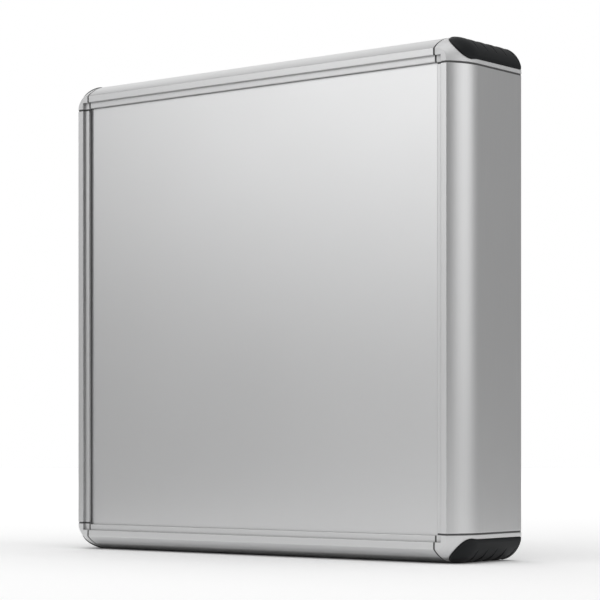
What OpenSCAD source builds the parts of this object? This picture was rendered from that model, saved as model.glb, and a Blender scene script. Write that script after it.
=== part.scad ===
// Square operator console enclosure: extruded frame, cast corners, ribbed corner caps,
// plain front plate and a hinged rear door. Millimetres, Z up, front faces -Y,
// origin in the middle of the base.

/* [Overall size] */
// outside width of the frame
width = 408; // [300:1:600]
// outside height of the frame
height = 400; // [300:1:600]
// depth from the front rim to the rear edge
depth = 86; // [75:1:140]

/* [Frame section] */
// how far the curved cheek narrows the front
cheek_inset = 11; // [6:0.5:14]
// depth of the curved cheek
cheek_depth = 27; // [20:0.5:32]
// width of the flat front rim
rim_width = 5.4; // [4:0.1:8]
// width of the sunk lip that holds the plate
lip_width = 5; // [3:0.1:8]
// step from the rim back to the lip
rim_step = 2.4; // [1:0.1:4]
// thickness of the lip
lip_thick = 2.2; // [2:0.1:6]
// wall thickness of the extrusion
wall = 3; // [2.5:0.1:4]
// width of the flat rear rim
rear_rim = 12; // [11:0.5:14]
// thickness of the rear rim
rear_rim_thick = 3.5; // [3:0.1:5]
// how far the door seat reaches in from the outside
seat_reach = 20.5; // [18:0.5:22]
// depth of the door seat behind the rear edge
seat_depth = 8; // [7:0.5:10]

/* [Corner pieces] */
// distance from the front crease to the joint, also the crease radius
crease_radius = 10.7; // [9:0.1:14]
// width of the shadow groove at each joint
joint_gap = 1.5; // [0.6:0.1:1.8]
// depth of the shadow groove
joint_groove = 2; // [0.8:0.1:2.4]
// end wall left under the corner screw heads
end_wall = 4; // [3:0.5:5]
// thickness of the inner fixing lug
lug_thick = 6; // [5:0.5:8]
// leg length of the inner fixing lug
lug_leg = 34; // [28:1:40]
// tapped hole radius of the inner fixing lug
lug_hole_r = 2.1; // [1.6:0.1:2.6]

/* [Corner caps] */
// depth of the recess that the cap lies in
cap_thick = 2.5; // [2:0.1:3]
// how far the cap stands out of its recess
cap_proud = 0.8; // [0:0.1:1]
// half width of the cap seen along the corner diagonal
cap_half = 12.7; // [10:0.1:14]
// where the rounded front end of the cap starts behind the rim
cap_front = 8; // [5:0.5:14]
// shadow line around the cap
cap_gap = 0.25; // [0.1:0.05:0.5]
// number of cushion ribs
rib_count = 4; // [2:1:5]
// where the first rib groove lies behind the rim
rib_start = 30; // [24:0.5:40]
// spacing of the rib grooves
rib_pitch = 12.9; // [8:0.1:16]
// groove depth at the edge of the cap
rib_depth = 1.3; // [0.6:0.1:1.6]

/* [Screws] */
// radius of the corner screw shank
corner_screw_r = 2.5; // [2:0.1:3]
// length of the corner screw shank
corner_screw_len = 20; // [14:1:30]
// radius of the small screws
small_screw_r = 2; // [1.5:0.1:2.5]
// clearance of a screw in its tapped hole
thread_gap = 0.05; // [0.02:0.01:0.1]

/* [Front plate] */
// thickness of the front plate
plate_thick = 3; // [2:0.1:4]
// how far the plate reaches under the lip
plate_overlap = 8; // [5:0.5:9]
// thickness of the flat seal under the lip
front_seal = 1; // [0.5:0.1:2]
// distance of the plate clamps from the middle of each side
clamp_offset = 100; // [40:5:140]

/* [Rear door] */
// thickness of the door
door_thick = 4; // [3:0.5:5]
// gap around the door
door_gap = 1; // [0.8:0.1:2]
// how far the door lies below the rear rim
door_sunk = 1; // [0.5:0.1:2]
// hinge pin radius
pin_r = 2.5; // [2:0.1:3]
// running clearance on the hinge pin and in the latch, per side
run_gap = 0.06; // [0.02:0.01:0.1]
// distance of the hinges and latches from the top and the bottom
hinge_end = 100; // [60:1:140]
// distance of the latch axis from the outside
latch_in = 36; // [34:0.5:44]

/* [Hidden] */
$fn = 96;
eps = 0.01;
// how far a cutter runs past the face that it cuts
past = 1;
// how far joined shapes reach into each other
lap = 1;
front_y = -depth / 2;
corner_r = cheek_inset + crease_radius;
cheek_r = (cheek_inset * cheek_inset + cheek_depth * cheek_depth) / (2 * cheek_inset);
lip_u = cheek_inset + rim_width;
open_u = lip_u + lip_width;
lip_back = rim_step + lip_thick;
plate_y = lip_back + front_seal;
plate_u = open_u - plate_overlap;
plate_back = plate_y + plate_thick;
plate_room = 1;
slot_back = plate_back + plate_room;
slot_in = corner_r - plate_u + plate_room;
run_x = width - 2 * corner_r - 2 * joint_gap;
run_z = height - 2 * corner_r - 2 * joint_gap;
seat_y = depth - seat_depth;
seat_thick = 3;
seat_wall = 2.5;
ledge_y = 19;
ledge_thick = 3;
ledge_u = 15.4;
clamp_hole_u = 11;
clamp_u = 6;
clamp_span = 18.5;
clamp_leg_u = 22;
clamp_wide = 20;
clamp_sheet = 2.5;
clamp_screw_len = 10;
front_seal_in = 1;
port_u = 10.5;
ports = [33, 56];
port_wall = 1.9;
port_web = 3;
screw_clear = 0.25;
screw_head_r = 4.7;
screw_head_h = 2.75;
screw_head_taper = 1.4;
screw_head_room = 0.5;
hex_r = 1.7;
hex_floor = 1;
small_head_r = 3.8;
small_head_h = 2.6;
drive_wide = 1;
drive_deep = 1;
sink_deep = 2;
sink_clear = 0.1;
sunk_low = 0.1;
sunk_drive = 0.8;
lug_y = 63;
lug_hole = 3;
lug_in = 8;
lug_boss_r = 6;
pocket_r = corner_r - rear_rim;
door_u = rear_rim + door_gap;
door_front = depth - door_sunk - door_thick;
door_back = depth - door_sunk;
seal_gap = 0.2;
door_seal_in = 0.5;
door_seal_lap = 1;
door_seal_r = 2;
rib_shift = rib_depth / (sin(80) - sin(45));
cap_r = corner_r + cap_proud;
cap_under = 0.1;
rib_ring = cap_r + rib_shift * sin(45);
rib_sag = 1.2;
rib_arc = (rib_pitch * rib_pitch / 4 + rib_sag * rib_sag) / (2 * rib_sag);
peg_y = [44.5, 70];
peg_r = 2;
peg_len = 6;
peg_room = 0.5;
hinge_z = [height - hinge_end, hinge_end];
hinge_u = rear_rim + door_gap / 2;
hinge_rise = 5.5;
hinge_y = depth + hinge_rise;
knuckle_r = 4.5;
knuckle_h = 14;
knuckle_gap = 0.25;
knuckle_room = 0.6;
pin_fit = 0.02;
leaf_half = 28;
leaf_thick = 2.5;
leaf_edge = 1;
leaf_wide = 10.5;
leaf_root = 6;
frame_leaf_screw = 21;
door_leaf_screw = 18;
frame_screw_len = 8;
door_screw_len = 6;
frame_leaf_u = 5.5;
door_leaf_u = 26;
door_leaf_in = 3;
door_leaf_end = 10;
door_leaf_root = 0.7;
door_leaf_web = 4;
latch_r = 9;
latch_flat = 15;
latch_bore = 6;
latch_clear = 0.2;
latch_flange_r = 12;
latch_flange = 2.5;
latch_nut_thick = 4.2;
knob_hub_r = 10;
knob_hub = 4;
knob_wide = 8;
knob_span = 28;
knob_high = 14;
knob_room = 0.5;
wing_drop = 0.5;
cam_thick = 3;
cam_room = 0.6;
cam_y = seat_y - seat_thick - cam_room - cam_thick;
cam_reach = 22;
cam_wide = 14;
cam_square = 8;
cam_fit = 0.1;
cam_head_r = 6.5;
cam_drive = 1.2;
cam_screw_len = 9;
barrel_room = 0.7;

// Section sketches: x is the distance in from the outside, y the distance behind the rim

// outside shape of the section, drawn in by e (out where negative) and cut at the joint corner
module outline(e = 0, deep = corner_r) {
    intersection() {
        union() {
            intersection() {
                translate([cheek_r, cheek_depth]) circle(r = cheek_r - e, $fn = 180);
                translate([min(e, 0), 0]) square([deep - min(e, 0), cheek_depth]);
            }
            translate([e, cheek_depth]) square([deep - e, depth - cheek_depth]);
        }
        translate([min(e, 0) - past, 0]) square([deep - min(e, 0) + past, depth]);
    }
}

// the extruded section with rim, lip, clamp ledge, screw ports, rear rim and door seat
module section() {
    difference() {
        union() {
            difference() {
                outline();
                translate([cheek_r, cheek_depth]) circle(r = cheek_r - wall, $fn = 180);
                translate([wall, cheek_depth]) square([corner_r, depth]);
                translate([cheek_r - eps, -past]) square([corner_r, depth + 2 * past]);
            }
            intersection() {
                outline();
                union() {
                    square([lip_u, lip_back]);
                    translate([0, ledge_y]) square([ledge_u, ledge_thick]);
                }
            }
            translate([lip_u - lap, rim_step]) square([lip_width + lap, lip_thick]);
            for (p = ports) {
                translate([wall / 2, p - port_web / 2]) square([port_u - wall / 2, port_web]);
                translate([port_u, p]) circle(r = corner_screw_r + port_wall);
            }
            translate([0, depth - rear_rim_thick]) square([rear_rim, rear_rim_thick]);
            translate([rear_rim - seat_wall, seat_y - seat_thick]) {
                square([seat_wall, seat_depth + seat_thick]);
                square([seat_reach - rear_rim + seat_wall, seat_thick]);
            }
        }
        for (p = ports) translate([port_u, p]) circle(r = corner_screw_r + thread_gap);
    }
}

// turns a section sketch into distance from the corner axis
module from_axis() { translate([corner_r, 0]) mirror([1, 0]) children(); }

// Placing

module on_left() { translate([-width / 2, front_y, height / 2]) children(); }
module on_right() { mirror([1, 0, 0]) on_left() children(); }
module on_bottom() { translate([0, front_y, 0]) rotate([0, -90, 0]) children(); }
module on_top() { translate([0, 0, height]) mirror([0, 0, 1]) on_bottom() children(); }
module all_sides() {
    on_left() children();
    on_right() children();
    on_bottom() children();
    on_top() children();
}
module at_corner(sx, sz) {
    translate([sx * (width / 2 - corner_r), front_y, height / 2 + sz * (height / 2 - corner_r)])
        mirror([sx < 0 ? 1 : 0, 0, 0]) mirror([0, 0, sz < 0 ? 1 : 0]) children();
}
module all_corners() { for (sx = [-1, 1], sz = [-1, 1]) at_corner(sx, sz) children(); }
// a bar along Y between two depths behind the rim
module rod(r, y0, y1) { translate([0, y0, 0]) rotate([-90, 0, 0]) cylinder(r = r, h = y1 - y0); }
// a flat shape drawn as x, z and stretched between two depths
module slab(y0, y1) { translate([0, y1, 0]) rotate([90, 0, 0]) linear_extrude(y1 - y0) children(); }
// full frame outline drawn in by u with corner radius r
module frame_shape(u, r = 0) {
    w = width - 2 * u;
    h = height - 2 * u;
    translate([0, height / 2]) {
        if (r == 0) square([w, h], center = true);
        else {
            square([w - 2 * r, h], center = true);
            square([w, h - 2 * r], center = true);
            for (sx = [-1, 1], sz = [-1, 1])
                translate([sx * (w / 2 - r), sz * (h / 2 - r)]) circle(r = r);
        }
    }
}

// Frame profiles

module profile(len) {
    difference() {
        linear_extrude(len, center = true) section();
        for (s = [-1, 1]) translate([clamp_hole_u, 0, s * clamp_offset])
            rod(small_screw_r + thread_gap, ledge_y - past, ledge_y + ledge_thick + past);
    }
}
module profile_left() color("silver") difference() {
    on_left() profile(run_z);
    for (z = hinge_z, s = [-1, 1])
        translate([-width / 2 + frame_leaf_u, front_y, z + s * frame_leaf_screw])
            rod(small_screw_r + thread_gap, depth - rear_rim_thick - past, depth + past);
}
module profile_right() color("silver") on_right() profile(run_z);
module profile_top() color("silver") on_top() profile(run_x);
module profile_bottom() color("silver") on_bottom() profile(run_x);

// Corner pieces, drawn for the upper right corner about the joint axis

module cap_prism(e = 0) {
    rotate([0, 45, 0]) linear_extrude(cap_r + past) {
        translate([0, cap_front + cap_half]) circle(r = cap_half + e);
        translate([-cap_half - e, cap_front + cap_half]) square([2 * (cap_half + e), depth]);
    }
}
// turns a section sketch a quarter round the corner axis
module turned() {
    rotate([90, 0, 0]) rotate_extrude(angle = 90, $fn = 180) mirror([0, 1]) from_axis() children();
}
module pad_sketch() {
    difference() {
        intersection() {
            outline(joint_groove);
            translate([0, joint_groove]) square([corner_r, depth - 2 * joint_groove]);
        }
        translate([lip_u - joint_groove, -past]) square([corner_r, rim_step + joint_groove + past]);
        translate([corner_r - slot_in, lip_back]) square([slot_in + past, slot_back - lip_back]);
        translate([open_u, -past]) square([corner_r, lip_back + 2 * past]);
        translate([rear_rim, seat_y]) square([corner_r, seat_depth + past]);
        for (p = ports) translate([port_u, p]) circle(r = corner_screw_r + screw_clear);
    }
}
module corner_solid() {
    turned() outline();
    rotate([0, -90, 0]) linear_extrude(joint_gap) from_axis() pad_sketch();
    translate([0, 0, -joint_gap]) linear_extrude(joint_gap) from_axis() pad_sketch();
    slab(lug_y, lug_y + lug_thick)
        polygon([[lug_in, lug_in - lug_leg], [lug_in, lug_in], [lug_in - lug_leg, lug_in]]);
    translate([-lug_hole, 0, -lug_hole]) rod(lug_boss_r, lug_y - lug_boss_r, lug_y + lug_thick);
}
module corner_piece() {
    side = corner_r - lip_u;
    inner = corner_r - open_u;
    difference() {
        corner_solid();
        translate([-eps, -past, -eps]) cube([side + eps, rim_step + past, side + eps]);
        translate([-eps, -past, -eps]) cube([inner + eps, lip_back + 2 * past, inner + eps]);
        translate([-joint_gap - eps, lip_back, -joint_gap - eps])
            cube([slot_in + joint_gap, slot_back - lip_back, slot_in + joint_gap]);
        rod(pocket_r, seat_y, depth + past);
        intersection() {
            turned() difference() {
                translate([-past, 0]) outline(-past, corner_r + past);
                outline(cap_thick + cap_under);
            }
            cap_prism(cap_gap);
        }
        for (p = ports) {
            translate([0, p, corner_r - port_u]) rotate([0, 90, 0]) screw_hole();
            translate([corner_r - port_u, p, 0]) screw_hole();
        }
        for (p = peg_y) rotate([0, 45, 0]) translate([0, p, corner_r - cap_thick - peg_len - peg_room])
            cylinder(r = peg_r + thread_gap, h = peg_len + peg_room + cap_thick + past);
        translate([-lug_hole, 0, -lug_hole])
            rod(lug_hole_r, lug_y - lug_boss_r - past, lug_y + lug_thick + past);
    }
}
module screw_hole() {
    translate([0, 0, -joint_gap - past])
        cylinder(r = corner_screw_r + screw_clear, h = joint_gap + end_wall + 2 * past);
    translate([0, 0, end_wall]) cylinder(r = screw_head_r + screw_head_room, h = corner_r);
}
module corner_top_left() color("gainsboro") at_corner(-1, 1) corner_piece();
module corner_top_right() color("gainsboro") at_corner(1, 1) corner_piece();
module corner_bottom_left() color("gainsboro") at_corner(-1, -1) corner_piece();
module corner_bottom_right() color("gainsboro") at_corner(1, -1) corner_piece();

// Ribbed caps that close the screw recess of each corner

module rib_cutter() {
    translate([0, 0, -rib_shift]) rotate([90, 0, 0]) rotate_extrude($fn = 180) mirror([0, 1])
        difference() {
            translate([rib_ring, rib_start]) square([rib_shift + past, depth - rib_start + past]);
            for (k = [0 : rib_count])
                translate([rib_ring + rib_sag - rib_arc, rib_start + (k + 0.5) * rib_pitch])
                    circle(r = rib_arc, $fn = 180);
        }
}
module cap() {
    difference() {
        intersection() {
            turned() difference() {
                outline(-cap_proud);
                outline(cap_thick);
            }
            cap_prism();
            cube([corner_r, depth, corner_r]);
        }
        rib_cutter();
    }
    for (p = peg_y) intersection() {
        rotate([0, 45, 0]) translate([0, p, corner_r - cap_thick - peg_len])
            cylinder(r = peg_r, h = peg_len + lap);
        turned() outline(lap);
    }
}
module cap_top_left() color("dimgray") at_corner(-1, 1) cap();
module cap_top_right() color("dimgray") at_corner(1, 1) cap();
module cap_bottom_left() color("dimgray") at_corner(-1, -1) cap();
module cap_bottom_right() color("dimgray") at_corner(1, -1) cap();

// Screws from each corner into the ends of the profiles

module corner_screw() {
    difference() {
        union() {
            translate([0, 0, end_wall - corner_screw_len])
                cylinder(r = corner_screw_r, h = corner_screw_len + lap);
            translate([0, 0, end_wall])
                cylinder(r1 = screw_head_r, r2 = screw_head_r - screw_head_taper, h = screw_head_h);
        }
        translate([0, 0, end_wall + hex_floor]) cylinder(r = hex_r, h = screw_head_h, $fn = 6);
    }
}
module corner_screws() color("gray") all_corners() for (p = ports) {
    translate([0, p, corner_r - port_u]) rotate([0, 90, 0]) corner_screw();
    translate([corner_r - port_u, p, 0]) corner_screw();
}

// Front plate, its flat seal and the clamps behind it

module front_plate() color("whitesmoke")
    translate([0, front_y, 0]) slab(plate_y, plate_back) frame_shape(plate_u);
module front_seal_ring() color("black")
    translate([0, front_y, 0]) slab(lip_back, plate_y) difference() {
        frame_shape(plate_u + front_seal_in);
        frame_shape(open_u - front_seal_in);
    }
module plate_clamp() {
    seat = ledge_y + ledge_thick;
    top = seat + clamp_sheet;
    difference() {
        union() {
            translate([clamp_u, seat, -clamp_wide / 2]) cube([clamp_span, clamp_sheet, clamp_wide]);
            translate([clamp_leg_u, plate_back, -clamp_wide / 2])
                cube([clamp_sheet, top - plate_back, clamp_wide]);
        }
        translate([clamp_hole_u, 0, 0]) rod(small_screw_r + screw_clear, ledge_y, top + past);
    }
}
module plate_clamps() color("gray")
    all_sides() for (s = [-1, 1]) translate([0, 0, s * clamp_offset]) plate_clamp();
// straight screwdriver slot, cut from the top of a head at y
module drive_slot(y, deep) {
    translate([-drive_wide / 2, y - deep, -small_head_r - past])
        cube([drive_wide, deep + past, 2 * (small_head_r + past)]);
}
module clamp_screw() {
    y = ledge_y + ledge_thick + clamp_sheet;
    difference() {
        rod(small_head_r, y, y + small_head_h);
        drive_slot(y + small_head_h, drive_deep);
    }
    rod(small_screw_r, y - clamp_screw_len, y + eps);
}
module clamp_screws() color("gray")
    all_sides() for (s = [-1, 1]) translate([clamp_hole_u, 0, s * clamp_offset]) clamp_screw();

// Rear door with seal

module latch_at(z) { translate([width / 2 - latch_in, front_y, z]) children(); }
// block between the two flats of a latch barrel, e wider on each side
module latch_flats(e = 0) {
    translate([-latch_flat / 2 - e, 0, -latch_flange_r])
        cube([latch_flat + 2 * e, depth + 2 * past, 2 * latch_flange_r]);
}
module rear_door() color("silver") difference() {
    translate([0, front_y, 0]) slab(door_front, door_back) frame_shape(door_u, pocket_r - door_gap);
    for (z = hinge_z) latch_at(z) intersection() {
        rod(latch_r + latch_clear, door_front - past, door_back + past);
        latch_flats(latch_clear);
    }
    for (z = hinge_z, s = [-1, 1])
        translate([-width / 2 + door_leaf_u, front_y, z + s * door_leaf_screw])
            rod(small_screw_r + thread_gap, door_front - past, door_back + past);
}
module door_seal() color("black")
    translate([0, front_y, 0]) slab(seat_y + seal_gap, door_front) difference() {
        frame_shape(door_u + door_seal_in, pocket_r - door_gap - door_seal_in);
        frame_shape(seat_reach - door_seal_lap, door_seal_r);
    }

// Lift-off hinges on the left rear edge

module hinge_at(z) { translate([-width / 2, front_y, z]) children(); }
module sunk_hole(y) {
    rod(small_screw_r + screw_clear, y - leaf_thick - past, y + past);
    translate([0, y, 0]) rotate([90, 0, 0])
        cylinder(r1 = small_head_r + sink_clear, r2 = small_screw_r, h = sink_deep);
}
module sunk_screw(y, len) {
    top = y - sunk_low;
    rim_r = small_head_r - 2 * sink_clear;
    neck_r = small_screw_r - sink_clear;
    difference() {
        union() {
            rod(small_screw_r, y - len, y - lap);
            translate([0, top, 0]) rotate([90, 0, 0])
                cylinder(r1 = rim_r, r2 = neck_r, h = sink_deep - sunk_low);
        }
        drive_slot(top, sunk_drive);
    }
}
module frame_leaf() {
    difference() {
        union() {
            translate([leaf_edge, depth, -leaf_half]) cube([leaf_wide, leaf_thick, 2 * leaf_half]);
            translate([leaf_root, depth, -knuckle_h])
                cube([hinge_u - leaf_root, hinge_rise, knuckle_h - knuckle_gap]);
            translate([hinge_u, hinge_y, -knuckle_h]) cylinder(r = knuckle_r, h = knuckle_h - knuckle_gap);
        }
        translate([hinge_u, hinge_y, -knuckle_gap])
            cylinder(r = knuckle_r + knuckle_room, h = knuckle_h + 3 * knuckle_gap);
        translate([hinge_u, hinge_y, -knuckle_h - past])
            cylinder(r = pin_r + pin_fit, h = knuckle_h + 2 * past);
        for (s = [-1, 1]) translate([frame_leaf_u, 0, s * frame_leaf_screw]) sunk_hole(depth + leaf_thick);
    }
}
module door_leaf() {
    leaf_from = hinge_u + door_leaf_in;
    leaf_to = door_leaf_u + door_leaf_end;
    difference() {
        union() {
            translate([leaf_from, door_back, -leaf_half])
                cube([leaf_to - leaf_from, leaf_thick, 2 * leaf_half]);
            translate([hinge_u + door_leaf_root, door_back, knuckle_gap])
                cube([door_leaf_web, hinge_y - door_back, knuckle_h - knuckle_gap]);
            translate([hinge_u, hinge_y, knuckle_gap]) cylinder(r = knuckle_r, h = knuckle_h - knuckle_gap);
        }
        translate([hinge_u, hinge_y, -past]) cylinder(r = pin_r + run_gap, h = knuckle_h + 2 * past);
        for (s = [-1, 1])
            translate([door_leaf_u, 0, s * door_leaf_screw]) sunk_hole(door_back + leaf_thick);
    }
}
module frame_leaf_upper() color("dimgray") hinge_at(hinge_z[0]) frame_leaf();
module frame_leaf_lower() color("dimgray") hinge_at(hinge_z[1]) frame_leaf();
module door_leaf_upper() color("dimgray") hinge_at(hinge_z[0]) door_leaf();
module door_leaf_lower() color("dimgray") hinge_at(hinge_z[1]) door_leaf();
module hinge_pins() color("gray") for (z = hinge_z) hinge_at(z)
    translate([hinge_u, hinge_y, -knuckle_h]) cylinder(r = pin_r, h = 2 * knuckle_h - 2 * knuckle_gap);
module frame_leaf_screws() color("gray") for (z = hinge_z, s = [-1, 1])
    hinge_at(z) translate([frame_leaf_u, 0, s * frame_leaf_screw])
        sunk_screw(depth + leaf_thick, frame_screw_len);
module door_leaf_screws() color("gray") for (z = hinge_z, s = [-1, 1])
    hinge_at(z) translate([door_leaf_u, 0, s * door_leaf_screw])
        sunk_screw(door_back + leaf_thick, door_screw_len);

// Quarter-turn latches on the free side of the door

module latch_barrel() {
    difference() {
        union() {
            rod(latch_flange_r, door_back, door_back + latch_flange);
            intersection() {
                rod(latch_r, cam_y + cam_thick + barrel_room, door_back + lap);
                latch_flats();
            }
        }
        rod(latch_bore + run_gap, 0, door_back + latch_flange + past);
    }
}
module latch_nut() {
    difference() {
        translate([0, door_front - latch_nut_thick, 0]) rotate([-90, 30, 0])
            cylinder(r = latch_flange_r / cos(30), h = latch_nut_thick, $fn = 6);
        rod(latch_r + thread_gap, 0, depth);
    }
}
module latch_knob() {
    top = door_back + latch_flange;
    difference() {
        union() {
            rod(latch_bore, cam_y + cam_thick + cam_fit, top + knob_room + lap);
            rod(knob_hub_r, top + knob_room, top + knob_hub);
            slab(top + knob_hub - wing_drop, top + knob_high) {
                square([knob_wide, knob_span], center = true);
                for (s = [-1, 1]) translate([0, s * knob_span / 2]) circle(r = knob_wide / 2);
            }
            slab(cam_y - cam_fit, cam_y + cam_thick + lap) square([cam_square, cam_square], center = true);
        }
        rod(small_screw_r + thread_gap, cam_y - past, cam_y + cam_screw_len + past);
    }
}
module latch_cam() {
    slab(cam_y, cam_y + cam_thick) difference() {
        union() {
            circle(r = latch_r);
            translate([-cam_wide / 2, -cam_reach]) square([cam_wide, cam_reach]);
        }
        square([cam_square + cam_fit, cam_square + cam_fit], center = true);
    }
}
module cam_screw() {
    seat = cam_y - cam_fit;
    top = seat - small_head_h;
    difference() {
        rod(cam_head_r, top, seat);
        translate([-cam_drive / 2, top - past, -cam_head_r - past])
            cube([cam_drive, past + drive_deep, 2 * (cam_head_r + past)]);
    }
    rod(small_screw_r, seat - cam_fit, cam_y + cam_screw_len);
}
module latch_barrel_upper() color("dimgray") latch_at(hinge_z[0]) latch_barrel();
module latch_barrel_lower() color("dimgray") latch_at(hinge_z[1]) latch_barrel();
module latch_nut_upper() color("gray") latch_at(hinge_z[0]) latch_nut();
module latch_nut_lower() color("gray") latch_at(hinge_z[1]) latch_nut();
module latch_knob_upper() color("dimgray") latch_at(hinge_z[0]) latch_knob();
module latch_knob_lower() color("dimgray") latch_at(hinge_z[1]) latch_knob();
module latch_cam_upper() color("gray") latch_at(hinge_z[0]) latch_cam();
module latch_cam_lower() color("gray") latch_at(hinge_z[1]) latch_cam();
module cam_screw_upper() color("gray") latch_at(hinge_z[0]) cam_screw();
module cam_screw_lower() color("gray") latch_at(hinge_z[1]) cam_screw();

profile_left();
profile_right();
profile_top();
profile_bottom();
corner_top_left();
corner_top_right();
corner_bottom_left();
corner_bottom_right();
cap_top_left();
cap_top_right();
cap_bottom_left();
cap_bottom_right();
corner_screws();
front_plate();
front_seal_ring();
plate_clamps();
clamp_screws();
rear_door();
door_seal();
frame_leaf_upper();
frame_leaf_lower();
door_leaf_upper();
door_leaf_lower();
hinge_pins();
frame_leaf_screws();
door_leaf_screws();
latch_barrel_upper();
latch_barrel_lower();
latch_nut_upper();
latch_nut_lower();
latch_knob_upper();
latch_knob_lower();
latch_cam_upper();
latch_cam_lower();
cam_screw_upper();
cam_screw_lower();
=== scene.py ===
from math import asin, cos, pi, radians, sin, sqrt

import bmesh
import bpy
from mathutils import Matrix, Vector


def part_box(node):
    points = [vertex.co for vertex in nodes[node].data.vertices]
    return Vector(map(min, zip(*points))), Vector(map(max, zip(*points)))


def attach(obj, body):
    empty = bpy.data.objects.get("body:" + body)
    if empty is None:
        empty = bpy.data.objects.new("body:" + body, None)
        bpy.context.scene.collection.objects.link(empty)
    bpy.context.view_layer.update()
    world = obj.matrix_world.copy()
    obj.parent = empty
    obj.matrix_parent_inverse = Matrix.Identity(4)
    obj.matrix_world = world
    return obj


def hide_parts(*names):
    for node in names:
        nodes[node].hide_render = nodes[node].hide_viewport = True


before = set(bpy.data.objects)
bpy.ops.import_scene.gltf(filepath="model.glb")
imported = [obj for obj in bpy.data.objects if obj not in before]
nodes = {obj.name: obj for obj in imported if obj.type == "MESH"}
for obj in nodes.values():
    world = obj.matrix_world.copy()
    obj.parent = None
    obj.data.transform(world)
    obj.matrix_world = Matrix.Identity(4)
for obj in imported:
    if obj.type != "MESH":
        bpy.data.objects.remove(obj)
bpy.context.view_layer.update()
scene = bpy.context.scene

# Frame profiles
# Four lengths of one aluminium extrusion with a flat rim, a sunk lip, a curved cheek and an open
# channel behind. Sawn square and satin anodised, so faint die lines run along each length.
MM = 0.001
half_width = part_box("profile_right")[1].x
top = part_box("profile_top")[1].z
front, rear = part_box("profile_left")[0].y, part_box("profile_left")[1].y
depth = rear - front
cheek_inset, cheek_depth = 11 * MM, 27 * MM
cheek_radius = (cheek_inset ** 2 + cheek_depth ** 2) / (2 * cheek_inset)
rim_width, rim_step = 5.4 * MM, 2.4 * MM
lip_width, lip_thick = 5 * MM, 2.2 * MM
wall = 3 * MM
lip_u = cheek_inset + rim_width
open_u = lip_u + lip_width
lip_back = rim_step + lip_thick
ledge_u, ledge_front, ledge_back = 15.4 * MM, 19 * MM, 22 * MM
port_u, port_depths = 10.5 * MM, (33 * MM, 56 * MM)
port_outer, port_bore, port_web = 4.4 * MM, 2.55 * MM, 1.5 * MM
rear_rim, rear_rim_front, return_u = 12 * MM, depth - 3.5 * MM, 9.5 * MM
seat_u, seat_front, seat_back = 20.5 * MM, depth - 11 * MM, depth - 8 * MM
rim_edge, step_edge, channel_edge, rear_edge = 0.45 * MM, 0.3 * MM, 0.4 * MM, 0.5 * MM
port_steps, weld_gap = 24, 1e-6
profiles = ("profile_left", "profile_right", "profile_top", "profile_bottom")


def cheek_u(y, inward=0.0):
    """Distance of the outside from the outer plane, at a depth y, drawn in by a thickness."""
    if y >= cheek_depth:
        return inward
    return cheek_radius - sqrt((cheek_radius - inward) ** 2 - (cheek_depth - y) ** 2)


def cheek_arc(y0, y1, steps, inward=0.0):
    depths = [y0 + (y1 - y0) * i / steps for i in range(steps + 1)]
    return [(cheek_u(y, inward), y, 0.0) for y in depths]


def circle_points(u, y, radius, start, turn, steps):
    angles = [start + turn * i / steps for i in range(steps + 1)]
    return [(u + radius * cos(a), y + radius * sin(a), 0.0) for a in angles]


def profile_section():
    """The outline and the two screw ports, as distance in, distance back and edge radius."""
    loop = [(open_u, rim_step, rim_edge), (open_u, lip_back, step_edge)]
    loop += cheek_arc(lip_back, ledge_front, steps=8, inward=wall)
    loop += [(ledge_u, ledge_front, step_edge), (ledge_u, ledge_back, step_edge)]
    loop += cheek_arc(ledge_back, cheek_depth, steps=3, inward=wall)
    open_angle = asin(port_web / port_outer)
    for y in port_depths:
        loop.append((wall, y - port_web, channel_edge))
        loop += circle_points(port_u, y, port_outer, open_angle - pi, 2 * pi - 2 * open_angle, port_steps)
        loop.append((wall, y + port_web, channel_edge))
    loop += [(u, y, channel_edge) for u, y in ((wall, rear_rim_front), (return_u, rear_rim_front))]
    loop += [(u, y, channel_edge) for u, y in ((return_u, seat_front), (seat_u, seat_front))]
    loop += [(seat_u, seat_back, channel_edge), (rear_rim, seat_back, step_edge)]
    loop += [(rear_rim, depth, channel_edge), (0.0, depth, rear_edge)]
    loop += cheek_arc(cheek_depth, 0.0, steps=24)[:-1]
    loop += [(cheek_inset, 0.0, rim_edge), (lip_u, 0.0, rim_edge), (lip_u, rim_step, step_edge)]
    ports = [circle_points(port_u, y, port_bore, 0.0, 2 * pi, port_steps)[:-1] for y in port_depths]
    return [loop, *ports]


def tree_node(tree, kind, values=None, **settings):
    node = tree.nodes.new(kind)
    for key, value in settings.items():
        setattr(node, key, value)
    for key, value in (values or {}).items():
        node.inputs[key].default_value = value
    return node


def geometry_tree(name, inputs):
    tree = bpy.data.node_groups.new(name, "GeometryNodeTree")
    tree.is_modifier = True
    tree.interface.new_socket("Geometry", in_out="INPUT", socket_type="NodeSocketGeometry")
    for label, kind in inputs:
        tree.interface.new_socket(label, in_out="INPUT", socket_type=kind)
    tree.interface.new_socket("Geometry", in_out="OUTPUT", socket_type="NodeSocketGeometry")
    return tree, tree.nodes.new("NodeGroupInput"), tree.nodes.new("NodeGroupOutput")


def end_tree(tree, geometry, material, out):
    """Every tree ends alike: real geometry with one material."""
    real = tree_node(tree, "GeometryNodeRealizeInstances")
    coat = tree_node(tree, "GeometryNodeSetMaterial")
    tree.links.new(geometry, real.inputs["Geometry"])
    tree.links.new(real.outputs["Geometry"], coat.inputs["Geometry"])
    tree.links.new(material, coat.inputs["Material"])
    tree.links.new(coat.outputs["Geometry"], out.inputs["Geometry"])


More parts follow.
